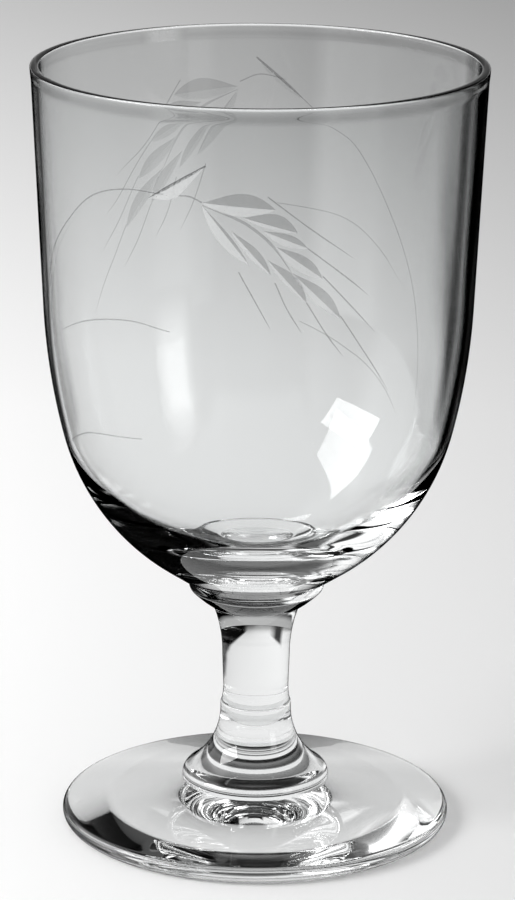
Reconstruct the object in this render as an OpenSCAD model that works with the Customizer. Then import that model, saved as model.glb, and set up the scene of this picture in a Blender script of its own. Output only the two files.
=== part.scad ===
// Short-stemmed water goblet in clear glass, put together as a glassmaker does it: a deep
// rounded bowl, a button under it, a waisted stem and a broad foot, each a gather of its
// own, fused to the next while hot. The origin is the centre of the foot's resting face,
// and +Z is up. Every piece is one outline turned about the Z axis.

/* [Bowl] */
// Outer diameter of the wall at the lip
mouth_d = 89; // [87:0.5:96]
// Height from the bowl's seat on the button to the top of the lip
bowl_h = 104.8; // [96:0.2:125]
// Lean of the straight upper wall from upright, in degrees
wall_lean = 2.6; // [1:0.2:3.4]
// Radius of the long outer curve below the straight wall
shoulder_r = 130; // [110:5:150]
// Lean of the wall where the long curve ends, in degrees
shoulder_lean = 14; // [12:0.5:16]
// Radius of the round outer curve of the bowl's base
base_r = 46.6; // [43:0.2:49]
// Lean of the wall where the round base ends, in degrees
base_lean = 56; // [54:1:58]
// Thickness of the wall
wall_t = 1.6; // [1.2:0.1:2]
// How far the fire-polished bead of the lip swells past each face of the wall
bead_swell = 0.2; // [0.1:0.05:0.4]
// Thickness of the glass under the middle of the bowl's floor
floor_t = 11; // [8:0.5:13]

/* [Button] */
// Diameter of the button
button_d = 27.2; // [25.6:0.2:28.8]
// Height of the button, from the stem to the bowl's seat
button_h = 5.2; // [4.8:0.1:6]
// Height of the upright side of the button
button_side_h = 0.7; // [0.4:0.1:1]
// Radius of the button's rounded shoulder
button_edge_r = 1.8; // [1.4:0.1:2.2]
// Radius of the full curve under the button
button_under_r = 24; // [20:1:30]

/* [Stem] */
// Length of the stem
stem_len = 20.5; // [18:0.5:60]
// Diameter of the stem's joint with the button
stem_top_d = 17.6; // [16:0.2:17.8]
// Diameter of the stem just below its upper flare
stem_neck_d = 13.7; // [13.4:0.1:15]
// Diameter of the stem at its waist, above its lower flare
stem_waist_d = 13.2; // [12:0.1:13.4]
// Diameter of the stem's joint with the foot
stem_end_d = 13.9; // [13.6:0.1:14.1]
// Radius of the hollow upper flare
top_flare_r = 27; // [22:1:32]
// Radius of the hollow lower flare
end_flare_r = 14; // [8:1:18]

/* [Foot] */
// Diameter of the foot
foot_d = 78.4; // [72:0.4:82]
// Height of the foot, with the peg that carries the stem
foot_h = 24.5; // [24:0.5:32]
// Thickness of the foot's rounded edge
foot_edge_t = 3.4; // [2.8:0.2:3.8]
// Slope of the foot's upper face, in degrees
foot_slope = 11.8; // [9:0.2:13]
// Width of the flat ring that the foot rests on
rest_w = 8.5; // [6:0.5:10]
// Rise of the hollow under the foot
hollow_h = 1.7; // [1:0.1:3]
// Diameter of the hub in the middle of the foot
hub_d = 29.8; // [27:0.2:31]
// Height of the hub's upright side above the foot's upper face
hub_side_h = 0.5; // [0.2:0.1:0.9]
// Radius of the hub's rounded shoulder
hub_edge_r = 2.6; // [2:0.2:3.4]
// Radius of the hollow flare from the peg to the hub's shoulder
flare_r = 14.7; // [12.5:0.1:15.5]
// Diameter of the peg that carries the stem
peg_d = 14.3; // [14.2:0.1:15]
// Radius of the rounding round the top of the peg
peg_edge_r = 0.3; // [0.1:0.1:0.5]

/* [Hidden] */
clear_glass = [0.86, 0.9, 0.91, 0.45];
$fn = 180;
// How far a faceted curve may depart from the true one, and its longest step in degrees
curve_tolerance = 0.01;
longest_step = 8;

// Heights of the joints and of the lip
stem_z = foot_h;
button_z = stem_z + stem_len;
seat_z = button_z + button_h;
rim_z = seat_z + bowl_h;

// The lip's bead, and the height of its middle, where the straight wall ends
mouth_r = mouth_d / 2;
bead_r = wall_t / 2 + bead_swell;
bead_neck_turn = acos(wall_t / 2 / bead_r);
lip_z = rim_z - bead_r;
button_r = button_d / 2;

// Rise and spread of the long curve below the straight wall
shoulder_rise = shoulder_r * (sin(shoulder_lean) - sin(wall_lean));
shoulder_spread = shoulder_r * (cos(wall_lean) - cos(shoulder_lean));

// Lean at which the round base would run straight into the button's edge. A base that
// comes there sooner than its own lean, as under a narrow mouth, ends there with no cone
base_top = [
    mouth_r - button_r - shoulder_spread - base_r * cos(shoulder_lean),
    lip_z - seat_z - shoulder_rise + base_r * sin(shoulder_lean)];
meeting_share = (base_top.y * sin(wall_lean) - base_top.x * cos(wall_lean)) / base_r;
end_lean = min(base_lean, wall_lean + acos(meeting_share));
base_rise = base_r * (sin(end_lean) - sin(shoulder_lean));
base_spread = base_r * (cos(shoulder_lean) - cos(end_lean));

// The straight wall and the straight cone above the seat share the height and the spread
// that the curves leave between the lip and the button
left_rise = lip_z - seat_z - shoulder_rise - base_rise;
left_spread = mouth_r - button_r - shoulder_spread - base_spread;
cone_rise = (left_spread - left_rise * tan(wall_lean)) / (tan(end_lean) - tan(wall_lean));
cone_spread = cone_rise * tan(end_lean);

// Outer points where the bowl's curves meet, as [radius, height], and the curves' centres
base_low = [button_r + cone_spread, seat_z + cone_rise];
base_high = base_low + [base_spread, base_rise];
shoulder_high = base_high + [shoulder_spread, shoulder_rise];
base_centre = base_high - base_r * toward(shoulder_lean);
shoulder_centre = shoulder_high - shoulder_r * toward(wall_lean);

// The bowl's rounded keel, a ball that carries on the cone and sits in the button
keel_r = button_r / cos(end_lean);
keel_centre = [0, seat_z + keel_r * sin(end_lean)];
keel_z = keel_centre.y - keel_r;
keel_curve = arc(keel_centre, keel_r, end_lean, 90);

// Inner face of the wall, which runs down to one round curve and a level floor
inner_shoulder_r = shoulder_r - wall_t;
inner_high = shoulder_centre + inner_shoulder_r * toward(wall_lean);
inner_low = shoulder_centre + inner_shoulder_r * toward(shoulder_lean);
floor_z = keel_z + floor_t;
inside_r = (inner_low.y - floor_z) / (1 - sin(shoulder_lean));
inside_centre = inner_low - inside_r * toward(shoulder_lean);
bead_centre = [inner_high.x + wall_t / 2 + (lip_z - inner_high.y) * tan(wall_lean), lip_z];

// The button's shoulder turns halfway to level before the full curve under it starts
button_turn = 45;
edge_centre = [button_r - button_edge_r, seat_z - button_side_h];
under_centre = edge_centre + (button_edge_r - button_under_r) * toward(button_turn);
under_turn = asin((under_centre.y - button_z) / button_under_r);

// Angles through which the stem's two flares turn, and the heights that they take
top_flare_turn = acos(1 - (stem_top_d - stem_neck_d) / 2 / top_flare_r);
end_flare_turn = acos(1 - (stem_end_d - stem_waist_d) / 2 / end_flare_r);
neck_z = button_z - top_flare_r * sin(top_flare_turn);
waist_z = stem_z + end_flare_r * sin(end_flare_turn);

// The foot's half-round edge, and the ball that hollows its underside
nose_r = foot_edge_t / 2;
nose_centre = [foot_d / 2 - nose_r, nose_r];
rest_r = nose_centre.x - rest_w;
hollow_r = (rest_r * rest_r + hollow_h * hollow_h) / (2 * hollow_h);
hollow_centre = [0, hollow_h - hollow_r];

// The hub stands on the foot's upper face, and its shoulder and the flare make an S
hub_r = hub_d / 2;
nose_high = nose_centre + nose_r * toward(foot_slope - 90);
hub_foot_z = nose_high.y + (nose_high.x - hub_r) * tan(foot_slope);
hub_edge_centre = [hub_r - hub_edge_r, hub_foot_z + hub_side_h];
hub_turn = acos(1 - (hub_r - peg_d / 2) / (flare_r + hub_edge_r));
flare_centre = hub_edge_centre + (flare_r + hub_edge_r) * [cos(hub_turn), sin(hub_turn)];
peg_edge_centre = [peg_d / 2 - peg_edge_r, foot_h - peg_edge_r];

// Direction out of a wall that leans by an angle: 0 is an upright wall, and 90 a floor
// seen from below
function toward(lean) = [cos(lean), -sin(lean)];

// Number of straight steps that a curve takes
function steps(radius, turn) =
    ceil(abs(turn) / min(longest_step, 2 * acos(1 - curve_tolerance / radius)));

// Points of a curve round a centre, from one lean to another
function arc(centre, radius, from, to) =
    let (count = steps(radius, to - from))
    [for (i = [0:count]) centre + radius * toward(from + (to - from) * i / count)];

function reversed(points) = [for (i = [len(points) - 1:-1:0]) points[i]];

// Solid of glass made by turning an outline about the Z axis
module turned(outline) {
    color(clear_glass) rotate_extrude() polygon(outline);
}

// Deep bowl with a thick base, a thin wall and a beaded lip
module bowl() {
    turned(concat(
        reversed(keel_curve),
        arc(base_centre, base_r, end_lean, shoulder_lean),
        arc(shoulder_centre, shoulder_r, shoulder_lean, wall_lean),
        arc(bead_centre, bead_r, bead_neck_turn, -180 - bead_neck_turn),
        arc(shoulder_centre, inner_shoulder_r, wall_lean, shoulder_lean),
        arc(inside_centre, inside_r, shoulder_lean, 90),
        [[0, floor_z]]));
}

// Button with a rounded shoulder, hollowed to the ball of the bowl
module button() {
    turned(concat(
        [[0, button_z]],
        arc(under_centre, button_under_r, under_turn, button_turn),
        arc(edge_centre, button_edge_r, button_turn, 0),
        keel_curve));
}

// Stem that flares into the button above and into the foot's peg below
module stem() {
    turned(concat(
        [[0, stem_z]],
        arc([stem_waist_d / 2 + end_flare_r, waist_z], end_flare_r, 180 - end_flare_turn, 180),
        arc([stem_neck_d / 2 + top_flare_r, neck_z], top_flare_r, 180, 180 + top_flare_turn),
        [[0, button_z]]));
}

// Foot with a half-round edge, a sloping upper face, a hub drawn up into the peg, and a
// hollow underside that leaves a flat ring to rest on
module foot() {
    turned(concat(
        arc(hollow_centre, hollow_r, -90, -acos(rest_r / hollow_r)),
        arc(nose_centre, nose_r, 90, foot_slope - 90),
        [[hub_r, hub_foot_z]],
        arc(hub_edge_centre, hub_edge_r, 0, -hub_turn),
        arc(flare_centre, flare_r, 180 - hub_turn, 180),
        arc(peg_edge_centre, peg_edge_r, 0, -90),
        [[0, foot_h]]));
}

bowl();
button();
stem();
foot();
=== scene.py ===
# Short-stemmed water goblet in clear glass, its bowl engraved with two drooping ears of
# wheat. Lengths are in metres, +Z is up, and the goblet stands on z = 0.
import math

import bpy
from mathutils import Matrix, Vector

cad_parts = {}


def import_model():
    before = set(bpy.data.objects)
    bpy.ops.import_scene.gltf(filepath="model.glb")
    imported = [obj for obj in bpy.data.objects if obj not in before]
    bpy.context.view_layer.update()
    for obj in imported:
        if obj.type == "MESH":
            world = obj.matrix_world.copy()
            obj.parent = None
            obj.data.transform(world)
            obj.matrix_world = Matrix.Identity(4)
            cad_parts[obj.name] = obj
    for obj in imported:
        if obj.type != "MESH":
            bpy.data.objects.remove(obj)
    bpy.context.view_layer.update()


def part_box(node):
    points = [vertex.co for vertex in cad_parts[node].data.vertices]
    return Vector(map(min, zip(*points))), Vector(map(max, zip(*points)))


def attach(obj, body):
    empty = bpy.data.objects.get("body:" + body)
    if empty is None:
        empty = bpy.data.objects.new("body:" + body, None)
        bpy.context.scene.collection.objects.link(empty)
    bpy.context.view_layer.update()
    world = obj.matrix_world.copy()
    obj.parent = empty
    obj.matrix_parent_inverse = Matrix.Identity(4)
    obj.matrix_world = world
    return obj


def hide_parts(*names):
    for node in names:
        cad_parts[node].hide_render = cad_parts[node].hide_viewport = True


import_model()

MM = 0.001
UP = Vector((0, 0, 1))
LEVEL = math.pi / 2

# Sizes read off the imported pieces
STEM_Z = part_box("stem")[0].z
BUTTON_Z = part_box("stem")[1].z
SEAT_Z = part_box("button")[1].z
KEEL_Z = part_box("bowl")[0].z
RIM_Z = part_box("bowl")[1].z
BUTTON_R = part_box("button")[1].x
FOOT_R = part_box("foot")[1].x

# Bowl, as the source of the part gives it
MOUTH_R = 44.5 * MM
WALL_T = 1.6 * MM
BEAD_SWELL = 0.2 * MM
WALL_LEAN = math.radians(2.6)
SHOULDER_R = 130 * MM
SHOULDER_LEAN = math.radians(14)
BASE_R = 46.6 * MM
BASE_LEAN = math.radians(56)
FLOOR_T = 11 * MM

# Lip: the stretch that swells, how far it goes out and in, and the height of the molten crown
LIP_LONG = 3 * MM
LIP_OUT, LIP_IN = 0.12 * MM, 0.06 * MM
CROWN_H = 0.5 * MM
# Power that takes the crown from round (1) towards square (0)
CROWN_POWER = 2 / 3
SWELL_STEPS, CROWN_STEPS = 12, 24

# Button and stem
BUTTON_SIDE_H = 0.7 * MM
BUTTON_EDGE_R = 1.8 * MM
BUTTON_UNDER_R = 24 * MM
BUTTON_TURN = math.radians(45)
STEM_TOP_R = 8.8 * MM
STEM_NECK_R = 6.85 * MM
STEM_WAIST_R = 6.6 * MM
STEM_END_R = 6.95 * MM
TOP_FLARE_R = 27 * MM
END_FLARE_R = 14 * MM

# Foot
FOOT_EDGE_R = 1.7 * MM
FOOT_SLOPE = math.radians(11.8)
REST_W = 8.5 * MM
HOLLOW_H = 1.7 * MM
HUB_R = 14.9 * MM
HUB_SIDE_H = 0.5 * MM
HUB_EDGE_R = 2.6 * MM
FLARE_R = 14.7 * MM
PEG_R = 7.15 * MM
PEG_EDGE_R = 0.3 * MM

# Fineness of the turned surfaces, and how close two points are one and the same
LONGEST_STEP = 0.8 * MM
LONGEST_TURN = math.radians(4)
SEGMENTS = 224
SAME_POINT, WELD = 1e-6, 1e-7
# Edges that turn by more than this, in radians, stay sharp
SHARP_FROM = 0.6
# A face belongs to a joint where all its points do
ALL_JOINED = 0.99


# Outlines


def point(radius, height):
    return Vector((radius, 0, height))


def toward(lean):
    """Direction out of a wall that leans by an angle: upright at 0, a floor seen from below at 90."""
    return Vector((math.cos(lean), 0, -math.sin(lean)))


def curve(centre, radius, start, end):
    """Points of a round stretch, from one lean to another."""
    turn = abs(end - start)
    count = max(math.ceil(turn / LONGEST_TURN), math.ceil(turn * radius / LONGEST_STEP))
    return [centre + radius * toward(start + (end - start) * i / count) for i in range(count + 1)]


def straight(start, end):
    """Points of a straight stretch."""
    count = max(1, math.ceil((end - start).length / LONGEST_STEP))
    return [start.lerp(end, i / count) for i in range(count + 1)]


def bowl_outline():
    """Outlines of the bowl: its keel in the button, its free surface, in that order."""
    lip_z = RIM_Z - WALL_T / 2 - BEAD_SWELL
    rise = SHOULDER_R * (math.sin(SHOULDER_LEAN) - math.sin(WALL_LEAN))
    spread = SHOULDER_R * (math.cos(WALL_LEAN) - math.cos(SHOULDER_LEAN))
    base_rise = BASE_R * (math.sin(BASE_LEAN) - math.sin(SHOULDER_LEAN))
    base_spread = BASE_R * (math.cos(SHOULDER_LEAN) - math.cos(BASE_LEAN))
    # The straight wall and the cone above the seat share what the curves leave
    left_rise = lip_z - SEAT_Z - rise - base_rise
    left_spread = MOUTH_R - BUTTON_R - spread - base_spread
    slopes = math.tan(BASE_LEAN) - math.tan(WALL_LEAN)
    cone_rise = (left_spread - left_rise * math.tan(WALL_LEAN)) / slopes
    seat = point(BUTTON_R, SEAT_Z)
    base_low = seat + point(cone_rise * math.tan(BASE_LEAN), cone_rise)
    base_high = base_low + point(base_spread, base_rise)
    shoulder_high = base_high + point(spread, rise)
    base_centre = base_high - BASE_R * toward(SHOULDER_LEAN)
    shoulder_centre = shoulder_high - SHOULDER_R * toward(WALL_LEAN)
    # Inside, the wall runs down to one round curve and a level floor
    inner_r = SHOULDER_R - WALL_T
    inner_high = shoulder_centre + inner_r * toward(WALL_LEAN)
    inner_low = shoulder_centre + inner_r * toward(SHOULDER_LEAN)
    floor_z = KEEL_Z + FLOOR_T
    inside_r = (inner_low.z - floor_z) / (1 - math.sin(SHOULDER_LEAN))
    inside_centre = inner_low - inside_r * toward(SHOULDER_LEAN)
    over_lip = fire_polished_lip(shoulder_high)
    joined = keel_curve()[::-1]
    free = [
        *straight(seat, base_low),
        *curve(base_centre, BASE_R, BASE_LEAN, SHOULDER_LEAN),
        *curve(shoulder_centre, SHOULDER_R, SHOULDER_LEAN, WALL_LEAN),
        *straight(shoulder_high, over_lip[0]),
        *over_lip,
        *straight(over_lip[-1], inner_high),
        *curve(shoulder_centre, inner_r, WALL_LEAN, SHOULDER_LEAN),
        *curve(inside_centre, inside_r, SHOULDER_LEAN, LEVEL),
        *straight(point(inside_centre.x, floor_z), point(0, floor_z)),
    ]
    return [(joined, True), (free, False)]


def fire_polished_lip(wall_low):
    """The last stretch of the wall: it swells a little to both sides, and its crown melted flat."""
    wall_across = WALL_T / math.cos(WALL_LEAN)
    outer, inner = [], []
    for i in range(SWELL_STEPS + 1):
        t = i / SWELL_STEPS
        # Eases in and out, so that the swell starts and ends with no crease
        swell = t**3 * (6 * t**2 - 15 * t + 10)
        z = RIM_Z - CROWN_H - LIP_LONG * (1 - t)
        wall = wall_low.x + (z - wall_low.z) * math.tan(WALL_LEAN)
        outer.append(point(wall + LIP_OUT * swell, z))
        inner.append(point(wall - wall_across - LIP_IN * swell, z))
    middle, half = (outer[-1] + inner[-1]) / 2, (outer[-1].x - inner[-1].x) / 2
    crown = []
    for i in range(1, CROWN_STEPS):
        side = math.cos(math.pi * i / CROWN_STEPS)
        high = math.sin(math.pi * i / CROWN_STEPS)
        across = math.copysign(abs(side) ** CROWN_POWER, side) * half
        crown.append(middle + point(across, high**CROWN_POWER * CROWN_H))
    return outer + crown + inner[::-1]


def keel_curve():
    """Ball under the bowl, which the button is pressed on to, from its side down to the axis."""
    keel_r = BUTTON_R / math.cos(BASE_LEAN)
    return curve(point(0, SEAT_Z + keel_r * math.sin(BASE_LEAN)), keel_r, BASE_LEAN, LEVEL)


def button_outline():
    """Outlines of the button: its seat on the stem, its free side, its cup for the bowl."""
    edge = point(BUTTON_R - BUTTON_EDGE_R, SEAT_Z - BUTTON_SIDE_H)
    under = edge + (BUTTON_EDGE_R - BUTTON_UNDER_R) * toward(BUTTON_TURN)
    under_turn = math.asin((under.z - BUTTON_Z) / BUTTON_UNDER_R)
    full = curve(under, BUTTON_UNDER_R, under_turn, BUTTON_TURN)
    stem_joint = point(STEM_TOP_R, BUTTON_Z)
    free = [
        *straight(stem_joint, full[0]),
        *full,
        *curve(edge, BUTTON_EDGE_R, BUTTON_TURN, 0),
        *straight(point(BUTTON_R, edge.z), point(BUTTON_R, SEAT_Z)),
    ]
    return [(straight(point(0, BUTTON_Z), stem_joint), True), (free, False), (keel_curve(), True)]


def stem_outline():
    """Outlines of the stem: its end on the foot, its two flares, its end under the button."""
    top_turn = math.acos(1 - (STEM_TOP_R - STEM_NECK_R) / TOP_FLARE_R)
    end_turn = math.acos(1 - (STEM_END_R - STEM_WAIST_R) / END_FLARE_R)
    neck = point(STEM_NECK_R + TOP_FLARE_R, BUTTON_Z - TOP_FLARE_R * math.sin(top_turn))
    waist = point(STEM_WAIST_R + END_FLARE_R, STEM_Z + END_FLARE_R * math.sin(end_turn))
    low = curve(waist, END_FLARE_R, math.pi - end_turn, math.pi)
    high = curve(neck, TOP_FLARE_R, math.pi, math.pi + top_turn)
    return [
        (straight(point(0, STEM_Z), low[0]), True),
        ([*low, *straight(low[-1], high[0]), *high], False),
        (straight(high[-1], point(0, BUTTON_Z)), True),
    ]


def foot_outline():
    """Outlines of the foot: its free surface from the hollow up to the peg, its seat for the stem."""
    nose = point(FOOT_R - FOOT_EDGE_R, FOOT_EDGE_R)
    rest_r = nose.x - REST_W
    hollow_r = (rest_r**2 + HOLLOW_H**2) / (2 * HOLLOW_H)
    hollow_lean = math.acos(rest_r / hollow_r)
    nose_high = nose + FOOT_EDGE_R * toward(FOOT_SLOPE - LEVEL)
    hub_foot = point(HUB_R, nose_high.z + (nose_high.x - HUB_R) * math.tan(FOOT_SLOPE))
    hub_edge = point(HUB_R - HUB_EDGE_R, hub_foot.z + HUB_SIDE_H)
    hub_turn = math.acos(1 - (HUB_R - PEG_R) / (FLARE_R + HUB_EDGE_R))
    flare = hub_edge + (FLARE_R + HUB_EDGE_R) * toward(-hub_turn)
    peg_edge = point(PEG_R - PEG_EDGE_R, STEM_Z - PEG_EDGE_R)
    free = [
        *curve(point(0, HOLLOW_H - hollow_r), hollow_r, -LEVEL, -hollow_lean),
        *straight(point(rest_r, 0), point(nose.x, 0)),
        *curve(nose, FOOT_EDGE_R, LEVEL, FOOT_SLOPE - LEVEL),
        *straight(nose_high, hub_foot),
        *straight(hub_foot, point(HUB_R, hub_edge.z)),
        *curve(hub_edge, HUB_EDGE_R, 0, -hub_turn),
        *curve(flare, FLARE_R, math.pi - hub_turn, math.pi),
        *straight(point(PEG_R, flare.z), point(PEG_R, peg_edge.z)),
        *curve(peg_edge, PEG_EDGE_R, 0, -LEVEL),
    ]
    return [(free, False), (straight(point(STEM_END_R, STEM_Z), point(0, STEM_Z)), True)]


# Node trees


def add(tree, kind, inputs=(), **settings):
    """Adds a node with its settings, and fills its inputs, given in their order or by name. A
    socket is linked, a node is linked by its first output, and anything else is a value."""
    node = tree.nodes.new(kind)
    for name, value in settings.items():
        setattr(node, name, value)
    given = inputs.items() if isinstance(inputs, dict) else enumerate(inputs)
    for socket, value in given:
        if isinstance(value, bpy.types.Node):
            value = value.outputs[0]
        if isinstance(value, bpy.types.NodeSocket):
            tree.links.new(value, node.inputs[socket])
        else:
            node.inputs[socket].default_value = value
    return node


def linear(code):
    """Linear colour of an sRGB hex code such as #C0C8CA."""
    shares = [int(code[i:i + 2], 16) / 255 for i in (1, 3, 5)]
    return tuple(s / 12.92 if s <= 0.04045 else ((s + 0.055) / 1.055) ** 2.4 for s in shares) + (1,)


def new_material(name):
    material = bpy.data.materials.new(name)
    material.use_nodes = True
    material.node_tree.nodes.clear()
    return material, material.node_tree


# Refraction typical of crystal
CRYSTAL_IOR = 1.53
# Painted shade on the skin: it darkens between these turns (0 is square-on, 1 edge-on), from not at all
# to fully
PAINTED_EDGE_SHADE = (0.76, 0.88, 0.0, 1.0)


def clear_glass():
    """Crystal, blown and fire-polished: no colour, a mirror-smooth skin, bright edges, and black edges
    in painted shade.
    """
    material, tree = new_material("fire_polished_crystal")
    # Painted shade: at a glancing angle the skin's colour turns black, which outlines the walls in black
    glancing = add(tree, "ShaderNodeLayerWeight", {"Blend": 0.5}).outputs["Facing"]
    painted_edge_darkening = add(tree, "ShaderNodeMapRange", (glancing, *PAINTED_EDGE_SHADE), interpolation_type="SMOOTHSTEP")
    edge_shaded_tint = add(tree, "ShaderNodeMix", {0: painted_edge_darkening, 6: linear("#F9FAFA"), 7: linear("#101112")},
               data_type="RGBA").outputs[2]
    glass = add(tree, "ShaderNodeBsdfPrincipled", {
        "Base Color": edge_shaded_tint, "Roughness": 0, "IOR": CRYSTAL_IOR, "Transmission Weight": 1})
    add(tree, "ShaderNodeOutputMaterial", {"Surface": glass})
    return material


def fused_joint():
    """Place where two gathers of hot glass have become one: nothing shows."""
    material, tree = new_material("fused_joint")
    add(tree, "ShaderNodeOutputMaterial", {"Surface": add(tree, "ShaderNodeBsdfTransparent")})
    return material


def new_tree(name, inputs, output):
    """Tree with named inputs, and the sockets that give them."""
    tree = bpy.data.node_groups.new(name, "GeometryNodeTree")
    for label, kind in inputs.items():
        tree.interface.new_socket(label, in_out="INPUT", socket_type="NodeSocket" + kind)
    tree.interface.new_socket(output, in_out="OUTPUT", socket_type="NodeSocketGeometry")
    return tree, add(tree, "NodeGroupInput").outputs


def turning_tree():
    """Turns an outline about the Z axis. Points are numbered ring by ring and then round."""
    tree, given = new_tree("turned_glass", {
        "Outline": "Geometry", "Segments": "Int", "Ripple depth": "Float", "Ripple size": "Float",
        "Ripple draw": "Float", "Seed": "Float", "Sharp from": "Float", "Glass": "Material",
        "Joint": "Material"}, "Turned")
    rings = add(tree, "GeometryNodeAttributeDomainSize", (given["Outline"],)).outputs["Point Count"]
    seats = add(tree, "FunctionNodeIntegerMath", (given["Segments"], 1), operation="ADD")
    grid = add(tree, "GeometryNodeMeshGrid", {"Vertices X": rings, "Vertices Y": seats})
    index = add(tree, "GeometryNodeInputIndex")
    ring = add(tree, "FunctionNodeIntegerMath", (index, seats), operation="DIVIDE_FLOOR")
    place = add(tree, "FunctionNodeIntegerMath", (index, seats), operation="MODULO")
    share = add(tree, "ShaderNodeMath", (place, given["Segments"]), operation="DIVIDE")
    turn = add(tree, "ShaderNodeMath", (share, math.tau), operation="MULTIPLY")
    position = add(tree, "GeometryNodeInputPosition")
    joined = add(tree, "GeometryNodeInputNamedAttribute", {"Name": "joined"}, data_type="FLOAT")
    on_outline = add(tree, "GeometryNodeSampleIndex", {
        0: given["Outline"], "Value": position, "Index": ring}, data_type="FLOAT_VECTOR", domain="POINT")
    on_joint = add(tree, "GeometryNodeSampleIndex", {
        0: given["Outline"], "Value": joined, "Index": ring}, data_type="FLOAT", domain="POINT")
    turned_place = add(tree, "ShaderNodeVectorRotate", {"Vector": on_outline, "Angle": turn},
                       rotation_type="Z_AXIS")
    marked = add(tree, "GeometryNodeStoreNamedAttribute", {
        "Geometry": grid, "Name": "joined", "Value": on_joint}, data_type="FLOAT", domain="POINT")
    wrapped = add(tree, "GeometryNodeSetPosition", {"Geometry": marked, "Position": turned_place})
    outward = add(tree, "GeometryNodeFlipFaces", (wrapped,))
    closed = add(tree, "GeometryNodeMergeByDistance", {"Geometry": outward, "Distance": WELD})

    # Ripples of hand-worked glass, which only sink into the surface, and fade out at the joints
    draw = add(tree, "ShaderNodeCombineXYZ", (1.0, 1.0, given["Ripple draw"]))
    stretched = add(tree, "ShaderNodeVectorMath", (position, draw), operation="MULTIPLY")
    scale = add(tree, "ShaderNodeMath", (1.0, given["Ripple size"]), operation="DIVIDE")
    noise = add(tree, "ShaderNodeTexNoise", {
        "Vector": stretched, "W": given["Seed"], "Scale": scale, "Detail": 1.0}, noise_dimensions="4D")
    depth = add(tree, "ShaderNodeMath", (noise, given["Ripple depth"]), operation="MULTIPLY")
    inward = add(tree, "ShaderNodeMath", (joined, 1.0), operation="SUBTRACT")
    sunk = add(tree, "ShaderNodeMath", (depth, inward), operation="MULTIPLY")
    normal = add(tree, "GeometryNodeInputNormal")
    offset = add(tree, "ShaderNodeVectorMath", {0: normal, "Scale": sunk}, operation="SCALE")
    rippled = add(tree, "GeometryNodeSetPosition", {"Geometry": closed, "Offset": offset})

    angle = add(tree, "GeometryNodeInputMeshEdgeAngle")
    crease = add(tree, "FunctionNodeCompare", (angle, given["Sharp from"]),
                 data_type="FLOAT", operation="GREATER_THAN")
    smooth = add(tree, "GeometryNodeSetShadeSmooth", {0: rippled, "Shade Smooth": True}, domain="FACE")
    creased = add(tree, "GeometryNodeSetShadeSmooth", {
        0: smooth, "Selection": crease, "Shade Smooth": False}, domain="EDGE")
    real = add(tree, "GeometryNodeRealizeInstances", (creased,))
    glass = add(tree, "GeometryNodeSetMaterial", {0: real, "Material": given["Glass"]})
    on_cap = add(tree, "FunctionNodeCompare", (joined, ALL_JOINED),
                 data_type="FLOAT", operation="GREATER_THAN")
    capped = add(tree, "GeometryNodeSetMaterial", {
        0: glass, "Selection": on_cap, "Material": given["Joint"]})
    add(tree, "NodeGroupOutput", (capped,))
    return tree


def new_object(name, data):
    obj = bpy.data.objects.new(name, data)
    bpy.context.scene.collection.objects.link(obj)
    return obj


def run_nodes(obj, tree, values):
    """Runs a tree on an object, and gives it the plain mesh that comes out."""
    modifier = obj.modifiers.new("made", "NODES")
    modifier.node_group = tree
    for item in tree.interface.items_tree:
        if item.in_out == "INPUT" and item.name in values:
            modifier[item.identifier] = values[item.name]
    view = bpy.context.evaluated_depsgraph_get()
    made = obj.evaluated_get(view)
    mesh = bpy.data.meshes.new_from_object(made, preserve_all_data_layers=True, depsgraph=view)
    obj.modifiers.remove(modifier)
    obj.data = mesh


def outline_object(name, stretches):
    """Polyline through an outline's stretches, each marked as joined or free."""
    points, joined = [], []
    for stretch, is_joined in stretches:
        for p in stretch:
            if points and (p - points[-1]).length < SAME_POINT:
                joined[-1] = max(joined[-1], float(is_joined))
                continue
            points.append(p)
            joined.append(float(is_joined))
    mesh = bpy.data.meshes.new(name)
    mesh.from_pydata(points, [(i, i + 1) for i in range(len(points) - 1)], [])
    mesh.attributes.new("joined", "FLOAT", "POINT").data.foreach_set("value", joined)
    return new_object(name, mesh)


def turned_piece(name, node, stretches, seed):
    """One gather of glass, turned from its outline, in place of a node of the part."""
    obj = outline_object(name, stretches)
    run_nodes(obj, turning, {
        "Segments": SEGMENTS, "Ripple depth": RIPPLE_DEEP, "Ripple size": RIPPLE_WIDE,
        "Ripple draw": RIPPLE_DRAW, "Seed": float(seed), "Sharp from": SHARP_FROM,
        "Glass": crystal, "Joint": joint})
    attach(obj, "root")
    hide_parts(node)
    return obj


# Ripples: their depth and width, and the share of their count that is left along the height
RIPPLE_DEEP, RIPPLE_WIDE, RIPPLE_DRAW = 0.05 * MM, 14 * MM, 0.4

crystal, joint, turning = clear_glass(), fused_joint(), turning_tree()
bowl_glass = turned_piece("bowl_glass", "bowl", bowl_outline(), seed=1)
turned_piece("button_glass", "button", button_outline(), seed=2)
turned_piece("stem_glass", "stem", stem_outline(), seed=3)
turned_piece("foot_glass", "foot", foot_outline(), seed=4)


# Engraving: two drooping ears of wheat, cut with a wheel on the outside of the wall and left
# matt. A place on it is given by its degrees round the bowl and its height in millimetres

# Radius at which the wall is rolled out flat, longest step of a cut, and its lift off the wall
ROLLED_R = 44 * MM
CUT_STEP = 0.7 * MM
CUT_LIFT = 0.02 * MM
# Marks of the grit: finer than 0.1 mm on cut glass, and drawn coarser here so that they show
GRIT = 0.3 * MM
GRIT_SHOWS = (0.3, 0.7, 0.9, 1.1)
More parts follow.
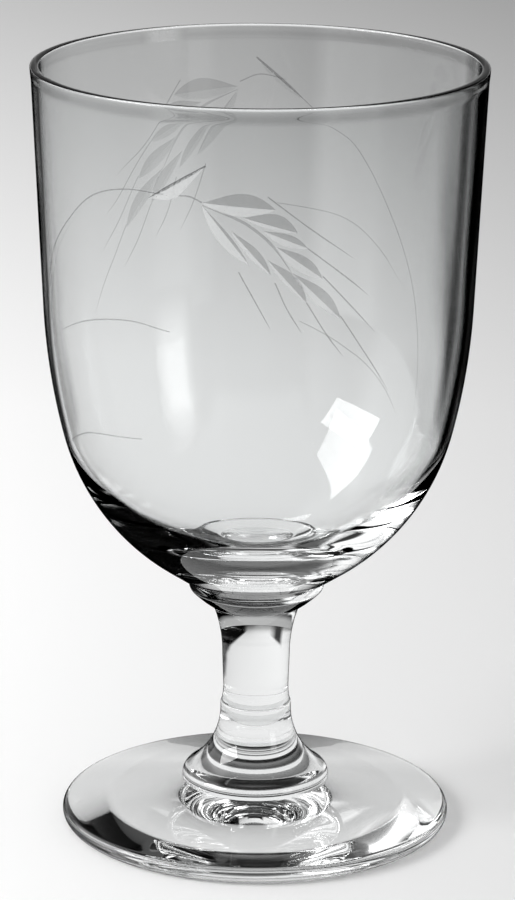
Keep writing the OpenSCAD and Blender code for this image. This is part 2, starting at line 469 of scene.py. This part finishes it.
# How strongly a cut shows, painted dark in shade below zero and pale in light above
STEEP_PAINTED_SHADE, SHALLOW_PAINTED_LIGHT, FINE_PAINTED_SHADE, RIDGE_PAINTED_SHADE = -0.3, 0.3, -0.36, -0.57
DARK_OR_PALE = (-0.01, 0.01, 0.0, 1.0)
# Widths of the fine cuts
STEM_W, LEAF_W, AWN_W, RIB_W = 0.3 * MM, 0.26 * MM, 0.25 * MM, 0.55 * MM
# Share of a cut's length in which it swells to its full width, and its width at a pointed end
TAPER_SHARE, POINT_SHARE = 0.3, 0.15
# Powers that shape a grain: fullness of its belly and crown, and the crown's lean to the far end
BELLY_POWER, CROWN_EDGE_POWER, CROWN_LEAN_POWER = 0.8, 0.9, 1.25
# Distance from the axis at which the rays start that find the wall
RAY_FROM = 100 * MM
# Height in millimetres from which an ear is stretched upwards
EAR_LOW = 112

# Grains of the ear, from tip to tip, and how far they swell above and below in millimetres
GRAINS = [
    ((-14, 137), (4, 136), 2.6, 1.8),
    ((-4, 134.5), (9.5, 131.5), 2.4, 0.7),
    ((1, 132), (12, 128.5), 1.2, 1.2),
    ((4, 129), (16, 122.5), 1.6, 1.4),
    ((8, 124), (21, 114.5), 1.8, 1.1),
    ((-14, 136.5), (-2.5, 125.5), 0.6, 1.8),
    ((-7, 132), (3, 123.5), 1.3, 0.8),
    ((2, 126.5), (12, 118), 1.8, 0.7),
]
RIB = [(-14, 136.5), (-5, 134), (0, 131.5), (4, 128.5), (8, 124)]
AWNS = [
    [(2, 138.5), (13, 132), (24, 126)],
    [(12, 128.5), (23, 122), (28.5, 118.5)],
    [(16, 123), (23.5, 117), (31, 111)],
    [(21, 115), (27, 108.5), (36, 99)],
    [(12, 118), (17, 112), (22, 107)],
    [(4, 122), (7, 117), (11, 112)],
    [(-5, 124), (-1, 118.5), (3, 113)],
]


def smooth_line(places):
    """Close points on a smooth line through a few places, on the wall rolled out flat."""
    flat = [point(math.radians(degrees) * ROLLED_R, height * MM) for degrees, height in places]
    ends = [2 * flat[0] - flat[1], *flat, 2 * flat[-1] - flat[-2]]
    line = []
    for before, start, end, after in zip(ends, ends[1:], ends[2:], ends[3:]):
        count = max(2, math.ceil((end - start).length / CUT_STEP))
        for i in range(count):
            t = i / count
            first = (end - before) * t
            second = (2 * before - 5 * start + 4 * end - after) * t**2
            third = (3 * start - before - 3 * end + after) * t**3
            line.append(0.5 * (2 * start + first + second + third))
    return [*line, flat[-1]]


def strip(cuts, low, high, depth):
    """Strip of matt ground glass between two lines with as many points."""
    rows = max(1, math.ceil(max((b - a).length for a, b in zip(low, high)) / CUT_STEP))
    first = len(cuts["points"])
    for a, b in zip(low, high):
        cuts["points"] += [a.lerp(b, j / rows) for j in range(rows + 1)]
    for i in range(len(low) - 1):
        for j in range(rows):
            a = first + i * (rows + 1) + j
            cuts["faces"].append((a, a + rows + 1, a + rows + 2, a + 1))
            cuts["depth"].append(depth)


def stroke(cuts, places, width, depth, taper):
    """Fine cut. Its taper gives how much it thins towards its start and its end, from 0 to 1."""
    line = smooth_line(places)
    low, high = [], []
    for i, p in enumerate(line):
        along = (line[min(i + 1, len(line) - 1)] - line[max(i - 1, 0)]).normalized()
        t = i / (len(line) - 1)
        full = 1
        for thins, share in zip(taper, (t, 1 - t)):
            full *= min(1, (1 - thins) + thins * share / TAPER_SHARE)
        side = Vector((-along.z, 0, along.x)) * width / 2 * max(POINT_SHARE, full)
        low.append(p - side)
        high.append(p + side)
    strip(cuts, low, high, depth)


def grain(cuts, start, end, crown, belly):
    """Grain of two cuts that meet along its middle, a steep one above and a shallow one below:
    the one above is painted dark in shade, and the one below painted pale in light."""
    ridge = smooth_line([start, end])
    along = (ridge[-1] - ridge[0]).normalized()
    up = Vector((-along.z, 0, along.x))
    shares = [i / (len(ridge) - 1) for i in range(len(ridge))]
    below = [math.sin(math.pi * t) ** BELLY_POWER for t in shares]
    above = [math.sin(math.pi * t**CROWN_LEAN_POWER) ** CROWN_EDGE_POWER for t in shares]
    strip(cuts, ridge, [p + up * crown * MM * s for p, s in zip(ridge, above)], STEEP_PAINTED_SHADE)
    strip(cuts, [p - up * belly * MM * s for p, s in zip(ridge, below)], ridge, SHALLOW_PAINTED_LIGHT)


def ear_of_wheat(stem, fold, blade_edge, stalk, leaves, stretch=1, strength=1):
    """One drooping ear with its stem, leaves and folded blade, rolled out flat. Its grains are
    stretched upwards, and all its cuts can be weaker."""
    cuts = {"points": [], "faces": [], "depth": []}

    def raised(place):
        return place[0], EAR_LOW + (place[1] - EAR_LOW) * stretch

    stroke(cuts, stem, STEM_W, FINE_PAINTED_SHADE, taper=(1, 0.3))
    stroke(cuts, stalk, STEM_W, FINE_PAINTED_SHADE, taper=(0.5, 0))
    for leaf in leaves:
        stroke(cuts, leaf, LEAF_W, FINE_PAINTED_SHADE, taper=(1, 0.2))
    tip, root = fold
    blade = smooth_line([root, ((root[0] + tip[0]) / 2, (root[1] + tip[1]) / 2), tip])
    under = smooth_line([root, *blade_edge, tip])
    under = [under[round(i * (len(under) - 1) / (len(blade) - 1))] for i in range(len(blade))]
    strip(cuts, under, blade, SHALLOW_PAINTED_LIGHT)
    stroke(cuts, [root, tip], RIB_W, RIDGE_PAINTED_SHADE, taper=(0.8, 0.4))
    for start, end, crown, belly in GRAINS:
        grain(cuts, raised(start), raised(end), crown, belly)
    stroke(cuts, [raised(place) for place in RIB], RIB_W, STEEP_PAINTED_SHADE, taper=(0.8, 0.8))
    for start, *rest in AWNS:
        stroke(cuts, [raised(start), *rest], AWN_W, FINE_PAINTED_SHADE, taper=(0, 0.8))
    cuts["depth"] = [depth * strength for depth in cuts["depth"]]
    return cuts


def ground_glass():
    """Matt wheel-cut glass, grey and scattering from the grit, painted as a lit and a shaded
    copy: pale in painted light where a cut is marked above zero, dark in painted shade below.
    """
    material, t = new_material("wheel_cut_matt_glass_painted_light_and_shade")
    # The depth attribute carries painted light and shade: pale above zero, dark below
    depth = add(t, "ShaderNodeAttribute", attribute_type="GEOMETRY",
                attribute_name="depth").outputs["Fac"]
    where = add(t, "ShaderNodeTexCoord").outputs["Object"]
    grit = add(t, "ShaderNodeTexNoise", {"Vector": where, "Scale": 1 / GRIT, "Detail": 2.0})
    pale = add(t, "ShaderNodeMapRange", (depth, *DARK_OR_PALE))
    colour = add(t, "ShaderNodeMix", {0: pale, 6: linear("#2E3031"), 7: linear("#F2F3F3")},
                 data_type="RGBA").outputs[2]
    strength = add(t, "ShaderNodeMath", (depth,), operation="ABSOLUTE")
    marks = add(t, "ShaderNodeMapRange", (grit, *GRIT_SHOWS))
    cover = add(t, "ShaderNodeMath", (strength, marks), operation="MULTIPLY")
    matt = add(t, "ShaderNodeBsdfDiffuse", {"Color": colour, "Roughness": 1.0})
    mixed = add(t, "ShaderNodeMixShader", (cover, add(t, "ShaderNodeBsdfTransparent"), matt))
    add(t, "ShaderNodeOutputMaterial", {"Surface": mixed})
    return material


def engraving_tree():
    """Rolls a flat drawing round the bowl and lays it on the wall."""
    tree, given = new_tree("engraved_wall", {
        "Drawing": "Geometry", "Bowl": "Object", "Rolled radius": "Float", "Turn": "Float",
        "Ray from": "Float", "Lift": "Float", "Cut": "Material"}, "Engraving")
    bowl = add(tree, "GeometryNodeObjectInfo", {"Object": given["Bowl"]}, transform_space="ORIGINAL")
    position = add(tree, "GeometryNodeInputPosition")
    across, _, height = add(tree, "ShaderNodeSeparateXYZ", (position,)).outputs
    round_wall = add(tree, "ShaderNodeMath", (across, given["Rolled radius"]), operation="DIVIDE")
    angle = add(tree, "ShaderNodeMath", (round_wall, given["Turn"]), operation="ADD")
    inward = add(tree, "ShaderNodeVectorRotate", {"Vector": (0, 1, 0), "Angle": angle},
                 rotation_type="Z_AXIS")
    back = add(tree, "ShaderNodeMath", (given["Ray from"], -1.0), operation="MULTIPLY")
    outside = add(tree, "ShaderNodeVectorMath", {0: inward, "Scale": back}, operation="SCALE")
    level = add(tree, "ShaderNodeCombineXYZ", {2: height})
    start = add(tree, "ShaderNodeVectorMath", (outside, level), operation="ADD")
    hit = add(tree, "GeometryNodeRaycast", {
        "Target Geometry": bowl.outputs["Geometry"], "Source Position": start,
        "Ray Direction": inward, "Ray Length": given["Ray from"]}).outputs["Hit Position"]
    off = add(tree, "ShaderNodeMath", (given["Lift"], -1.0), operation="MULTIPLY")
    lift = add(tree, "ShaderNodeVectorMath", {0: inward, "Scale": off}, operation="SCALE")
    laid = add(tree, "ShaderNodeVectorMath", (hit, lift), operation="ADD")
    on_wall = add(tree, "GeometryNodeSetPosition", {"Geometry": given["Drawing"], "Position": laid})
    real = add(tree, "GeometryNodeRealizeInstances", (on_wall,))
    cut = add(tree, "GeometryNodeSetMaterial", {0: real, "Material": given["Cut"]})
    add(tree, "NodeGroupOutput", (cut,))
    return tree


def engraving(name, cuts, turn):
    """One ear, laid on the bowl with its middle at a turn from the front."""
    mesh = bpy.data.meshes.new(name)
    mesh.from_pydata(cuts["points"], [], cuts["faces"])
    mesh.attributes.new("depth", "FLOAT", "FACE").data.foreach_set("value", cuts["depth"])
    obj = new_object(name, mesh)
    run_nodes(obj, wall_tree, {
        "Bowl": bowl_glass, "Rolled radius": ROLLED_R, "Turn": math.radians(turn),
        "Ray from": RAY_FROM, "Lift": CUT_LIFT, "Cut": cut_glass})
    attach(obj, "root")


cut_glass, wall_tree = ground_glass(), engraving_tree()
front_ear = ear_of_wheat(
    stem=[(-84, 74), (-80, 93), (-74, 109), (-67, 121),
          (-57, 129), (-46, 135.5), (-35, 138), (-24, 138)],
    fold=((-13, 144), (-28, 137)),
    blade_edge=[(-23, 137), (-20, 138), (-17, 140.5)],
    stalk=[(-20, 138), (-17, 138), (-14, 137)],
    leaves=[[(-65, 106), (-50, 110.5), (-35, 112.5), (-23, 111.5)],
            [(-73, 81.5), (-55, 87), (-33, 89)]])
back_ear = ear_of_wheat(
    stem=[(-81, 74), (-77, 90), (-70, 105), (-60, 118.5), (-48, 130.5), (-39, 135), (-32, 139.5)],
    fold=((-19, 148), (-32, 139.5)),
    blade_edge=[(-28, 141), (-22.5, 144.5)],
    stalk=[(-27, 143.5), (-20, 144.5), (-14.5, 143)],
    leaves=[[(-67, 103), (-56, 111), (-44, 116), (-25, 118)],
            [(-74, 76.5), (-60, 84), (-46, 89.5), (-32, 93.5)]],
    stretch=1.2, strength=0.7)
engraving("front_wheat_ear", front_ear, turn=0)
engraving("back_wheat_ear", back_ear, turn=200)


# Camera, at the photograph's place

CAMERA_AT = Vector((0, -758.3, 299.9)) * MM
CAMERA_PITCH = math.radians(16.375)
CAMERA_ROLL = math.radians(0.418)
# In millimetres, as a camera has them
LENS, SENSOR_W = 158.86, 36


def camera():
    data = bpy.data.cameras.new("camera")
    data.lens = LENS
    data.sensor_width = SENSOR_W
    obj = new_object("camera", data)
    tilt = Matrix.Rotation(LEVEL - CAMERA_PITCH, 4, "X") @ Matrix.Rotation(CAMERA_ROLL, 4, "Z")
    obj.matrix_world = Matrix.Translation(CAMERA_AT) @ tilt
    bpy.context.scene.camera = obj


# Stage: paper under the goblet, dark sheets of painted shade, a lamp and a strip of light round it, and
# the room


def facing(azimuth, elevation):
    """Direction from the goblet: azimuth 0 is behind it, 90 on its right, seen from the camera."""
    a, e = math.radians(azimuth), math.radians(elevation)
    return Vector((math.sin(a) * math.cos(e), math.cos(a) * math.cos(e), math.sin(e)))


STAGE_REACH = 6
# The sheets of the stage lie this far below the foot and below each other
SHEET_GAP = 0.05 * MM
CORNERS = ((-1, -1), (1, -1), (1, 1), (-1, 1))
BOWL_MIDDLE = Vector((0, 0, SEAT_Z + 30 * MM))

# Each of these says where a level starts and stops changing, in metres or bounces, and the
# level at both ends. First the paper's painted shade: away from the camera, far off, and towards the
# right
PAPER_BACK_SHADE = (0.3, 1.0, 1.0, 0.66)
PAPER_FAR_SHADE = (1.0, 3.0, 1.0, 0.65)
PAPER_RIGHT_SHADE = (-0.05, 0.4, 1.0, 0.36)
PAPER_SHADE_TURN = 0.065
# The paper as the glass shows it, with painted shade: away from the camera, and to the right behind the
# goblet
SEEN_BACK_SHADE = (0.35, 0.75, 1.0, 0.7)
SEEN_RIGHT_SHADE = (0.0, 0.08, 0.0, 0.14)
SEEN_RIGHT_BACK_SHADE = (0.2, 0.4, 0.0, 1.0)
# Where the dark sheets of painted shade begin, beside and in front of the goblet, and the bounces after
# which they paint all dark
SHADE_SHEET_BESIDE = (0.075, 0.1, 0.0, 1.0)
SHADE_SHEET_BEFORE = (-0.2, -0.26, 0.0, 1.0)
DARK_AFTER_BOUNCES = (7.5, 9.5, 0.0, 0.9)

# Dark sheets of painted shade by their bearing in degrees (0 behind the goblet, 90 on its right),
# with their grey and how fully they cover
SHADE_SHEET_BEARINGS = [
    (-180, 0, 1), (-152, 0, 1), (-142, 0, 0),
    (-38, 0, 0), (-31, 0.05, 1), (-24, 0.05, 1), (-15, 0, 0),
    (8.5, 0, 0), (13, 0, 1), (112, 0, 1), (119, 0, 0),
    (151, 0, 0), (158, 0, 1), (180, 0, 1),
]

# Room: its grey by height above the horizon, where it is pale near the horizon, and up to which
# bounce it shows so. Heights are sines of the elevation
ROOM_GREY = (0.3, 0.42, 0.14, 0.01)
HORIZON = (0.1, 0.2, 1.0, 0.0)
NEARLY_STRAIGHT = (4.5, 5.5, 1.0, 0.0)
# Level at which the room is seen, and at which it lights what scatters light
ROOM_SEEN, ROOM_LIGHT = 0.5, 0.68
# Parts of the room with a grey of their own: direction, outer and inner reach in degrees, grey
ROOM = [
    (facing(-80, 22), 42, 30, 1.5),
    (facing(-47, 6), 12, 6, 0.05),
    (facing(180, 15), 80, 60, 0.08),
    (facing(88, 20), 70, 60, 0),
]


def sheet(name, corners, material):
    mesh = bpy.data.meshes.new(name)
    mesh.from_pydata(corners, [], [tuple(range(len(corners)))])
    mesh.materials.append(material)
    obj = new_object(name, mesh)
    return obj


def square(height):
    return [(i * STAGE_REACH, j * STAGE_REACH, height) for i, j in CORNERS]


def floor():
    """Pale paper on a table, with painted shade: it greys towards the right, and away from the camera.
    """
    material, t = new_material("pale_paper_painted_shade")
    where = add(t, "ShaderNodeTexCoord").outputs["Object"]
    x, y, _ = add(t, "ShaderNodeSeparateXYZ", (where,)).outputs
    near = add(t, "ShaderNodeMapRange", (y, *PAPER_BACK_SHADE))
    far = add(t, "ShaderNodeMapRange", (y, *PAPER_FAR_SHADE))
    turned = add(t, "ShaderNodeMath", (y, PAPER_SHADE_TURN, x), operation="MULTIPLY_ADD")
    right = add(t, "ShaderNodeMapRange", (turned, *PAPER_RIGHT_SHADE))
    back = add(t, "ShaderNodeMath", (near, far), operation="MULTIPLY")
    colour = add(t, "ShaderNodeMath", (back, right), operation="MULTIPLY")
    paper = add(t, "ShaderNodeBsdfDiffuse", {"Color": colour})
    # Through the glass the paper glows with painted light at its own level, as light under the foot is
    # poorly traced
    beyond = add(t, "ShaderNodeMapRange", (y, *SEEN_BACK_SHADE))
    to_right = add(t, "ShaderNodeMapRange", (x, *SEEN_RIGHT_SHADE))
    behind = add(t, "ShaderNodeMapRange", (y, *SEEN_RIGHT_BACK_SHADE))
    aside = add(t, "ShaderNodeMath", (to_right, behind), operation="MULTIPLY")
    lit = add(t, "ShaderNodeMath", (beyond, aside), operation="SUBTRACT")
    level = add(t, "ShaderNodeMath", (colour, lit), operation="MULTIPLY")
    painted_glow = add(t, "ShaderNodeEmission", {"Color": level, "Strength": 1.0})
    through = add(t, "ShaderNodeLightPath").outputs["Is Transmission Ray"]
    mixed = add(t, "ShaderNodeMixShader", (through, paper, painted_glow))
    add(t, "ShaderNodeOutputMaterial", {"Surface": mixed})
    sheet("floor", square(-3 * SHEET_GAP), material)


def seen_in_glass(obj, mirrored_only=False):
    """Only the glass sees the sheet: it neither shows nor shades anything else."""
    obj.visible_camera = obj.visible_diffuse = obj.visible_shadow = False
    obj.visible_transmission = not mirrored_only


def cloths():
    """Dark sheets of painted shade round the goblet, out of the picture, laid out by their bearing.
    The glass draws its dark edges from them."""
    material, t = new_material("dark_painted_shade")
    where = add(t, "ShaderNodeTexCoord").outputs["Object"]
    x, y, _ = add(t, "ShaderNodeSeparateXYZ", (where,)).outputs
    bearing = add(t, "ShaderNodeMath", (x, y), operation="ARCTAN2")
    round_goblet = add(t, "ShaderNodeMapRange", (bearing, -math.pi, math.pi, 0.0, 1.0))
    laid = add(t, "ShaderNodeValToRGB", (round_goblet,))
    stops = laid.color_ramp.elements
    while len(stops) < len(SHADE_SHEET_BEARINGS):
        stops.new(1.0)
    for stop, (degrees, grey, cover) in zip(stops, SHADE_SHEET_BEARINGS):
        stop.position = degrees / 360 + 0.5
        stop.color = (grey, grey, grey, cover)
    aside = add(t, "ShaderNodeMath", (x,), operation="ABSOLUTE")
    beside = add(t, "ShaderNodeMapRange", (aside, *SHADE_SHEET_BESIDE), interpolation_type="SMOOTHSTEP")
    before = add(t, "ShaderNodeMapRange", (y, *SHADE_SHEET_BEFORE), interpolation_type="SMOOTHSTEP")
    away = add(t, "ShaderNodeMath", (beside, before), operation="MAXIMUM")
    there = add(t, "ShaderNodeMath", (laid.outputs["Alpha"], away), operation="MULTIPLY")
    # Painted shade: after many bounces, as inside the thick glass, the sheet covers fully and paints the
    # ray dark
    bounces = add(t, "ShaderNodeLightPath").outputs["Ray Depth"]
    painted_dark_after_bounces = add(t, "ShaderNodeMapRange", (bounces, *DARK_AFTER_BOUNCES))
    cover = add(t, "ShaderNodeMath", (there, painted_dark_after_bounces), operation="MAXIMUM")
    shade_paint = add(t, "ShaderNodeEmission", {"Color": laid, "Strength": 1.0})
    mixed = add(t, "ShaderNodeMixShader", (cover, add(t, "ShaderNodeBsdfTransparent"), shade_paint))
    add(t, "ShaderNodeOutputMaterial", {"Surface": mixed})
    seen_in_glass(sheet("cloths", square(-2 * SHEET_GAP), material))


def mirrored_table():
    """Dark sheet of painted shade, seen only where the skin of the glass mirrors the paper:
    it stands in for the paper there, so that reflection is painted dark.
    """
    material, t = new_material("painted_dark_reflection_sheet")
    dark = add(t, "ShaderNodeEmission", {"Color": linear("#000000"), "Strength": 1.0})
    add(t, "ShaderNodeOutputMaterial", {"Surface": dark})
    seen_in_glass(sheet("mirrored_table", square(-SHEET_GAP), material), mirrored_only=True)


def lamp(name, azimuth, elevation, distance, size, radiance):
    """Soft lamp that faces the bowl. Its power follows from its size and how bright its face is."""
    data = bpy.data.lights.new(name, "AREA")
    data.shape = "RECTANGLE"
    data.size, data.size_y = size
    data.energy = radiance * size[0] * size[1] * math.pi
    obj = new_object(name, data)
    obj.location = BOWL_MIDDLE + facing(azimuth, elevation) * distance
    obj.rotation_euler = (obj.location - BOWL_MIDDLE).to_track_quat("Z", "Y").to_euler()
    obj.visible_camera = False


def doorway(azimuth, elevation, distance, size, edges, radiance):
    """Upright strip of light with soft edges, which only the glass sees."""
    across = facing(azimuth, 0).cross(UP)
    middle = BOWL_MIDDLE + facing(azimuth, elevation) * distance
    half = [s / 2 for s in size]
    corners = [middle + across * (i * half[0]) + Vector((0, 0, j * half[1])) for i, j in CORNERS]
    material, t = new_material("doorway_light")
    where = add(t, "ShaderNodeTexCoord").outputs["Object"]
    off = add(t, "ShaderNodeVectorMath", (where, middle), operation="SUBTRACT")
    light = radiance
    for way, reach, edge in zip((across, UP), half, edges):
        along = add(t, "ShaderNodeVectorMath", (off, way), operation="DOT_PRODUCT").outputs["Value"]
        away = add(t, "ShaderNodeMath", (along,), operation="ABSOLUTE")
        fades = add(t, "ShaderNodeMapRange", (away, reach - edge, reach, 1.0, 0.0),
                    interpolation_type="SMOOTHSTEP")
        light = add(t, "ShaderNodeMath", (light, fades), operation="MULTIPLY")
    paint = add(t, "ShaderNodeEmission", {"Color": linear("#FFFFFF"), "Strength": light})
    add(t, "ShaderNodeOutputMaterial", {"Surface": paint})
    seen_in_glass(sheet("doorway", corners, material))


def world():
    """Room round the table: a bright side on the left, a dark one on the right and at the front.
    Scattered light comes evenly from all of it."""
    w = bpy.data.worlds.new("studio")
    w.use_nodes = True
    t = w.node_tree
    t.nodes.clear()
    way = add(t, "ShaderNodeTexCoord").outputs["Generated"]
    height = add(t, "ShaderNodeSeparateXYZ", (way,)).outputs[2]
    path = add(t, "ShaderNodeLightPath").outputs
    level = add(t, "ShaderNodeMapRange", (height, *ROOM_GREY))
    layers = []
    for direction, reach, full, grey in ROOM:
        near = add(t, "ShaderNodeVectorMath", (way, direction), operation="DOT_PRODUCT").outputs["Value"]
        within = (math.cos(math.radians(reach)), math.cos(math.radians(full)), 0.0, 1.0)
        part = add(t, "ShaderNodeMapRange", (near, *within), interpolation_type="SMOOTHSTEP")
        layers.append((part, grey))
    # Near the horizon the room is pale, and shows so straight through the glass
    low = add(t, "ShaderNodeMapRange", (height, *HORIZON))
    few = add(t, "ShaderNodeMapRange", (path["Ray Depth"], *NEARLY_STRAIGHT))
    layers.append((add(t, "ShaderNodeMath", (low, few), operation="MULTIPLY"), ROOM_SEEN))
    layers += [(path["Diffuse Depth"], ROOM_LIGHT), (path["Is Camera Ray"], ROOM_SEEN)]
    for share, grey in layers:
        level = add(t, "ShaderNodeMix", {0: share, 2: level, 3: grey}, data_type="FLOAT")
    back = add(t, "ShaderNodeBackground", {"Color": level, "Strength": 1.0})
    add(t, "ShaderNodeOutputWorld", {"Surface": back})
    bpy.context.scene.world = w


camera()
floor()
world()
cloths()
mirrored_table()
lamp("window", azimuth=-107, elevation=30, distance=1.2, size=(0.78, 0.42), radiance=9)
doorway(azimuth=127, elevation=15, distance=1.2, size=(0.56, 0.8), edges=(0.2, 0.22), radiance=2.6)

# Light meets many skins on its way through the thick base
scene = bpy.context.scene
scene.view_settings.view_transform = "Standard"
scene.cycles.max_bounces = 32
scene.cycles.transmission_bounces = 32
scene.cycles.glossy_bounces = 16
scene.cycles.transparent_max_bounces = 32
